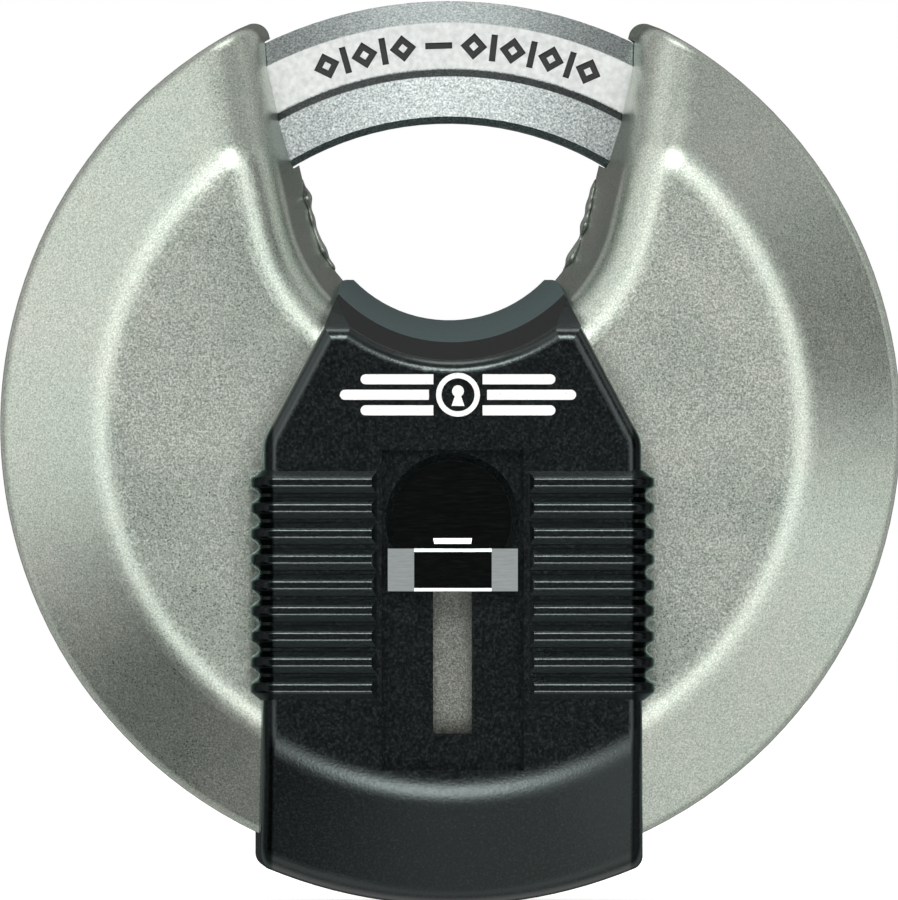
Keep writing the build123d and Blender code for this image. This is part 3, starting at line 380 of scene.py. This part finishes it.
def weld_metal():
    """The weld's own skin: dull, scaly, and browned in places by the heat."""
    finish = Finish("weld_metal")
    scale = finish.noise(0.5, detail=4.0, roughness=0.7)
    heat = finish.noise(2.2, detail=3.0)
    browned = finish.spread(heat, 0.4, 0.7, 0.0, 0.4)
    colour = finish.mix(browned, finish.ramp(scale, WELD_TONES), (0.26, 0.25, 0.23))
    roughness = finish.vary(scale, 0.42, 0.6)
    return finish.surface(colour, roughness, finish.bump(scale, 0.02), metallic=1.0)


INK_TONES = [(0.25, (0.70, 0.71, 0.71)), (0.4, (0.86, 0.87, 0.87)), (0.7, (0.90, 0.90, 0.90))]


def printed_ink():
    """White ink, pad printed over the plastic's grain."""
    finish = Finish("printed_ink")
    grain = finish.noise(0.32, detail=2.0, roughness=0.6)
    roughness = finish.vary(grain, 0.4, 0.5)
    return finish.surface(finish.ramp(grain, INK_TONES), roughness, finish.bump(grain, 0.02))


def assign(material, *nodes):
    """Gives CAD nodes their material."""
    for name in nodes:
        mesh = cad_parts[name].data
        mesh.materials.clear()
        mesh.materials.append(material)


PIN_STACKS = (1, 2, 3, 4)


def finish_cad_nodes():
    """Gives every CAD node that shows, or shows when the lock is opened up, its material."""
    assign(blasted_steel(), "front_shell", "rear_shell")
    assign(shackle_steel(), "shackle")
    assign(cover_plastic(), "front_cover")
    assign(liner_plastic(), "rear_cover")
    assign(shutter_chrome(), "shutter")
    assign(die_cast_zinc(), "front_chassis", "rear_chassis")
    brass = machined("brass", (0.60, 0.42, 0.17), (0.80, 0.62, 0.30), 0.6, (1.0, 8.0, 1.0), 0.28)
    assign(brass, "cylinder_shell", "chamber_cap", "plug")
    pins = machined("pin_brass", (0.62, 0.45, 0.2), (0.84, 0.68, 0.36), 0.4, (1.0, 1.0, 8.0), 0.24)
    assign(pins, *(f"{kind}_pin_{n}" for kind in ("key", "driver") for n in PIN_STACKS))
    plated = machined("zinc_plate", (0.46, 0.47, 0.48), (0.62, 0.63, 0.64), 0.5, (1.0, 6.0, 1.0), 0.34)
    assign(plated, "carrier_arm", "carrier_rivets", "drive_crank", "crank_pin")
    assign(plated, "retaining_clip", "chassis_screws")
    spring = machined("spring_wire", (0.50, 0.50, 0.50), (0.72, 0.72, 0.71), 0.3, (1.0, 1.0, 5.0), 0.25)
    assign(spring, *(f"pin_spring_{n}" for n in PIN_STACKS))


# ---- pieces added to the frame --------------------------------------------------------------


def new_piece(name, mesh, material, body):
    """Puts a finished bmesh into the scene as a piece that rides on a body."""
    bmesh.ops.recalc_face_normals(mesh, faces=mesh.faces)
    data = bpy.data.meshes.new(name)
    mesh.to_mesh(data)
    mesh.free()
    data.materials.append(material)
    piece = bpy.data.objects.new(name, data)
    bpy.context.scene.collection.objects.link(piece)
    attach(piece, body)
    return piece


# The throat's outline is an arc, and then straight sides that lean out by the flare's angle.
THROAT_RADIUS = 11.0
THROAT_FLARE = 13.0
# The bead starts at this angle round from the throat's bottom, and runs some way up the straight side.
WELD_START = 54.0
WELD_PAST_ARC = 3.2
BEAD_STEPS, BEAD_FACETS = 150, 20
BEAD_RADIUS, BEAD_LEAST_RADIUS = 0.38, 0.02
BEAD_FLATTENING, BEAD_WIDENING = 0.7, 2.8
BEAD_TAPER = 3.0
BEAD_SWAY = 0.12
RIPPLE_PITCH, RIPPLE_HEIGHT = 1.5, 0.05


def weld_path(side, along):
    """A point on the throat's outline, a distance up one side from the weld's start, and the way inward."""
    start = math.radians(WELD_START)
    bend = math.radians(90 - THROAT_FLARE) - start
    turn = start + min(along / THROAT_RADIUS, bend)
    beyond = max(along - bend * THROAT_RADIUS, 0.0)
    across = THROAT_RADIUS * math.sin(turn) + beyond * math.cos(turn)
    up = THROAT_HEIGHT - THROAT_RADIUS * math.cos(turn) + beyond * math.sin(turn)
    inward = (-side * math.sin(turn), math.cos(turn))
    return (side * across, up), inward


def weld_bead(side, material):
    """One length of the bead that joins the shells in the throat, with a hand-run weld's uneven ripples."""
    length = THROAT_RADIUS * math.radians(90 - THROAT_FLARE - WELD_START) + WELD_PAST_ARC
    draw = random.Random(11 + side)
    waves = [(draw.uniform(1.0, 4.2), draw.uniform(0, math.tau), draw.uniform(0.03, 0.07)) for _ in range(5)]
    mesh = bmesh.new()
    rings = []
    for step in range(BEAD_STEPS + 1):
        along = length * step / BEAD_STEPS
        taper = min(1.0, (math.sin(math.pi * step / BEAD_STEPS) * BEAD_TAPER)) ** 0.5
        ripple = math.sin(math.tau * along / RIPPLE_PITCH + waves[0][1]) * RIPPLE_HEIGHT
        swell = sum(size * math.sin(pitch * along + phase) for pitch, phase, size in waves)
        radius = max(BEAD_LEAST_RADIUS, (BEAD_RADIUS + ripple + swell) * taper)
        (across, up), inward = weld_path(side, along)
        sway = BEAD_SWAY * math.sin(1.7 * along + waves[1][1])
        ring = []
        for facet in range(BEAD_FACETS):
            angle = math.tau * facet / BEAD_FACETS
            out = radius * BEAD_FLATTENING * math.cos(angle)
            level = sway + radius * BEAD_WIDENING * math.sin(angle)
            ring.append(mesh.verts.new(on_disc(across + inward[0] * out, up + inward[1] * out, level)))
        rings.append(ring)
    for near, far in zip(rings, rings[1:]):
        for facet in range(BEAD_FACETS):
            after = (facet + 1) % BEAD_FACETS
            mesh.faces.new((near[facet], near[after], far[after], far[facet]))
    mesh.faces.new(rings[0])
    mesh.faces.new(list(reversed(rings[-1])))
    for face in mesh.faces:
        face.smooth = True
    name = "weld_bead_left" if side < 0 else "weld_bead_right"
    return new_piece(name, mesh, material, "case")


def build_weld():
    """The two beads, in place of the CAD model's plain ones."""
    material = weld_metal()
    left = weld_bead(-1, material)
    right = weld_bead(1, material)
    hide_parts("weld_seam")
    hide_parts("weld_seam")


# How far the ink goes into the cover, and how far it stands on it.
PRINT_SINK = 0.02
PRINT_RISE = 0.03


def arc(centre, radius, start, end, count):
    """Points on an arc, with angles in degrees anticlockwise from the right."""
    turns = [math.radians(start + (end - start) * step / count) for step in range(count + 1)]
    return [(centre[0] + radius * math.cos(turn), centre[1] + radius * math.sin(turn)) for turn in turns]


def print_strip(mesh, outer, inner=None):
    """Adds a flat printed shape to a mesh: an outline, or a band between two outlines of as many points."""
    low, high = COVER_LEVEL / MM - PRINT_SINK, COVER_LEVEL / MM + PRINT_RISE
    rows = []
    for outline in (outer, inner) if inner else (outer,):
        rows.append([[mesh.verts.new(on_disc(x, y, level)) for x, y in outline] for level in (low, high)])
    following = list(zip(range(len(outer)), [*range(1, len(outer)), 0]))
    for lower, upper in rows:
        for here, after in following:
            mesh.faces.new((lower[here], lower[after], upper[after], upper[here]))
    for level in (0, 1):
        if inner:
            outside, inside = rows[0][level], rows[1][level]
            for here, after in following:
                mesh.faces.new((outside[here], outside[after], inside[after], inside[here]))
        else:
            mesh.faces.new(rows[0][level])


EMBLEM_CENTRE = (0.4, 2.4)
RING_RADIUS, RING_WIDTH = 1.7, 0.42
RING_POINTS = 32
KEYHOLE_RADIUS, KEYHOLE_RISE = 0.46, 0.28
KEYHOLE_FOOT = (0.5, -0.86)
BAR_GAP, BAR_THICK, BAR_REACH = 0.42, 0.78, 9.2
BAR_SHORTER = 1.6
BAR_END = 0.45
BAR_CLEARANCE = 0.55


def emblem_bar(side, row):
    """The outline of one bar, which starts clear of the ring and has a round end."""
    x, y = EMBLEM_CENTRE
    rise = row * (BAR_THICK + BAR_GAP)
    middle, half = y + rise, BAR_THICK / 2
    start = x + side * math.sqrt((RING_RADIUS + BAR_CLEARANCE) ** 2 - rise**2)
    end = x + side * (BAR_REACH - abs(row) * BAR_SHORTER - BAR_END)
    tip = arc((end, middle), half, -90 if side > 0 else 270, 90, 8)[1:-1]
    return [(start, middle - half), (end, middle - half), *tip, (end, middle + half), (start, middle + half)]


def build_emblem():
    """A plain printed mark: a keyhole in a ring, with three bars on each side."""
    mesh = bmesh.new()
    x, y = EMBLEM_CENTRE
    last = 360 - 360 / RING_POINTS
    rim, hole = (arc((x, y), RING_RADIUS - width, 0, last, RING_POINTS - 1) for width in (0, RING_WIDTH))
    print_strip(mesh, rim, hole)
    keyhole = arc((x, y + KEYHOLE_RISE), KEYHOLE_RADIUS, -58, 238, 20)
    foot, down = KEYHOLE_FOOT
    print_strip(mesh, [*keyhole, (x - foot, y + down), (x + foot, y + down)])
    for side in (-1, 1):
        for row in (-1, 0, 1):
            print_strip(mesh, emblem_bar(side, row))
    return new_piece("printed_emblem", mesh, printed_ink(), "case")


# ---- stage ----------------------------------------------------------------------------------

FLOOR_RADIUS = 1.6
FLOOR_GLOW = 0.6


def build_floor():
    """A plain pale floor that the lock stands on. Only the camera sees it, so it doesn't light the lock."""
    mesh = bmesh.new()
    bmesh.ops.create_circle(mesh, cap_ends=True, segments=96, radius=FLOOR_RADIUS)
    data = bpy.data.meshes.new("floor")
    mesh.to_mesh(data)
    mesh.free()
    floor = bpy.data.objects.new("floor", data)
    floor.location.z = FLOOR_Z
    bpy.context.scene.collection.objects.link(floor)
    material = bpy.data.materials.new("floor_paper")
    material.use_nodes = True
    graph = Graph(material.node_tree)
    where = graph.add("ShaderNodeTexCoord").outputs["Object"]
    fibre = graph.noise(1.2, 4.0, 0.6, where)
    shader = graph.add("ShaderNodeBsdfPrincipled", {"Roughness": 0.9})
    graph.feed(shader.inputs["Base Color"], graph.shades(fibre, (0.93, 0.93, 0.93), (0.95, 0.95, 0.95)))
    shader.inputs["Emission Color"].default_value = (1.0, 1.0, 1.0, 1.0)
    shader.inputs["Emission Strength"].default_value = FLOOR_GLOW
    clear = graph.add("ShaderNodeBsdfTransparent").outputs[0]
    direct = graph.add("ShaderNodeLightPath").outputs["Is Camera Ray"]
    surface = graph.add("ShaderNodeMixShader", {0: direct, 1: clear, 2: shader.outputs[0]}).outputs[0]
    graph.add("ShaderNodeOutputMaterial", {"Surface": surface})
    data.materials.append(material)


# How bright the tent is, by how many degrees a direction is from straight in front.
FRONT_LIGHT = [
    (0, 0.015),
    (8, 0.03),
    (15, 0.25),
    (23, 1.4),
    (36, 1.75),
    (48, 1.05),
    (78, 1.0),
    (95, 0.55),
    (106, 0.25),
    (116, 0.6),
    (136, 0.6),
    (147, 0.14),
    (158, 0.05),
    (180, 0.04),
]
# The colour ramp holds no more than 1, so it holds the brightness divided by this.
BRIGHTEST = 2.0
# Gaps in the tent: clock angle, degrees from the front, radii where a gap is full and gone, and its depth.
TENT_GAPS = [
    (76, 62, 7, 21, 1.0),
    (222, 60, 12, 36, 0.95),
    (36, 64, 10, 30, 0.6),
    (0, 58, 12, 28, 0.7),
    (180, 66, 10, 24, 0.55),
    (140, 58, 10, 30, 0.25),
]
# Lamps in the tent, in the same way, with their strength.
TENT_LAMPS = [(0, 31, 5, 12, 11.0), (180, 32, 5, 12, 6.0), (0, 94, 8, 18, 2.2)]
LIGHT_COLOUR = (0.99, 0.985, 0.96, 1.0)


def clock_direction(clock, off_front):
    """A direction by its clock angle round the lock and how far it is from straight in front, in degrees."""
    turn, off = math.radians(clock), math.radians(off_front)
    return Vector((math.sin(turn) * math.sin(off), -math.cos(off), math.cos(turn) * math.sin(off)))


def build_light_tent():
    """Soft light from all round, as in a tent that is open in front for the camera and dim behind the lock."""
    world = bpy.data.worlds.new("light_tent")
    world.use_nodes = True
    bpy.context.scene.world = world
    graph = Graph(world.node_tree)
    ray = graph.add("ShaderNodeTexCoord").outputs["Generated"]

    def nearness(direction):
        """The cosine of the angle between the ray and a direction."""
        inputs = {0: ray, 1: direction}
        return graph.add("ShaderNodeVectorMath", inputs, operation="DOT_PRODUCT").outputs["Value"]

    def patch(direction, full, end, strength):
        """A soft round patch, full within some degrees of a direction and gone at the end."""
        start, whole = math.cos(math.radians(end)), math.cos(math.radians(full))
        return graph.step(nearness(direction), start, whole, 0.0, strength)

    off_front = graph.math("ARCCOSINE", nearness(clock_direction(0, 0)))
    stops = [(angle / 180, (light / BRIGHTEST,) * 3) for angle, light in FRONT_LIGHT]
    shade = graph.ramp(graph.math("DIVIDE", off_front, math.pi), stops)
    share = graph.add("ShaderNodeSeparateColor", {0: shade}).outputs[0]
    light = graph.math("MULTIPLY", share, BRIGHTEST)
    for clock, off, full, end, depth in TENT_GAPS:
        gap = patch(clock_direction(clock, off), full, end, depth)
        light = graph.math("MULTIPLY", light, graph.math("SUBTRACT", 1.0, gap))
    for clock, off, full, end, strength in TENT_LAMPS:
        light = graph.math("ADD", light, patch(clock_direction(clock, off), full, end, strength))
    lit = graph.add("ShaderNodeBackground", {"Color": LIGHT_COLOUR, "Strength": light}).outputs[0]
    seen = graph.add("ShaderNodeBackground", {"Color": (1.0, 1.0, 1.0, 1.0), "Strength": 1.0}).outputs[0]
    direct = graph.add("ShaderNodeLightPath").outputs["Is Camera Ray"]
    both = graph.add("ShaderNodeMixShader", {0: direct, 1: lit, 2: seen}).outputs[0]
    graph.add("ShaderNodeOutputWorld", {"Surface": both})


CAMERA_DISTANCE = 2.0
CAMERA_AZIMUTH = -1.0
FRAMED_WIDTH = 0.0702
# The middle of the photograph is this far under the disc's centre.
AIM_DROP = 1.87


def toward(azimuth, elevation):
    """A direction from the lock: azimuth 0 is in front of it and 90 to its right, in degrees."""
    a, e = math.radians(azimuth), math.radians(elevation)
    return Vector((math.sin(a) * math.cos(e), -math.cos(a) * math.cos(e), math.sin(e)))


def build_camera():
    """A long lens straight in front, a degree to the lock's left, framed as closely as the photograph."""
    aim = Vector((0.0, 0.0, DISC_Z - AIM_DROP * MM))
    data = bpy.data.cameras.new("camera")
    data.sensor_width = 36.0
    data.lens = data.sensor_width * CAMERA_DISTANCE / FRAMED_WIDTH
    data.clip_start = 0.1
    data.clip_end = 10.0
    camera = bpy.data.objects.new("camera", data)
    bpy.context.scene.collection.objects.link(camera)
    camera.location = aim + toward(CAMERA_AZIMUTH, 0) * CAMERA_DISTANCE
    camera.rotation_euler = (aim - camera.location).to_track_quat("-Z", "Y").to_euler()
    bpy.context.scene.camera = camera
    bpy.context.scene.view_settings.view_transform = "Standard"


finish_cad_nodes()
build_weld()
build_emblem()
build_floor()
build_light_tent()
build_camera()
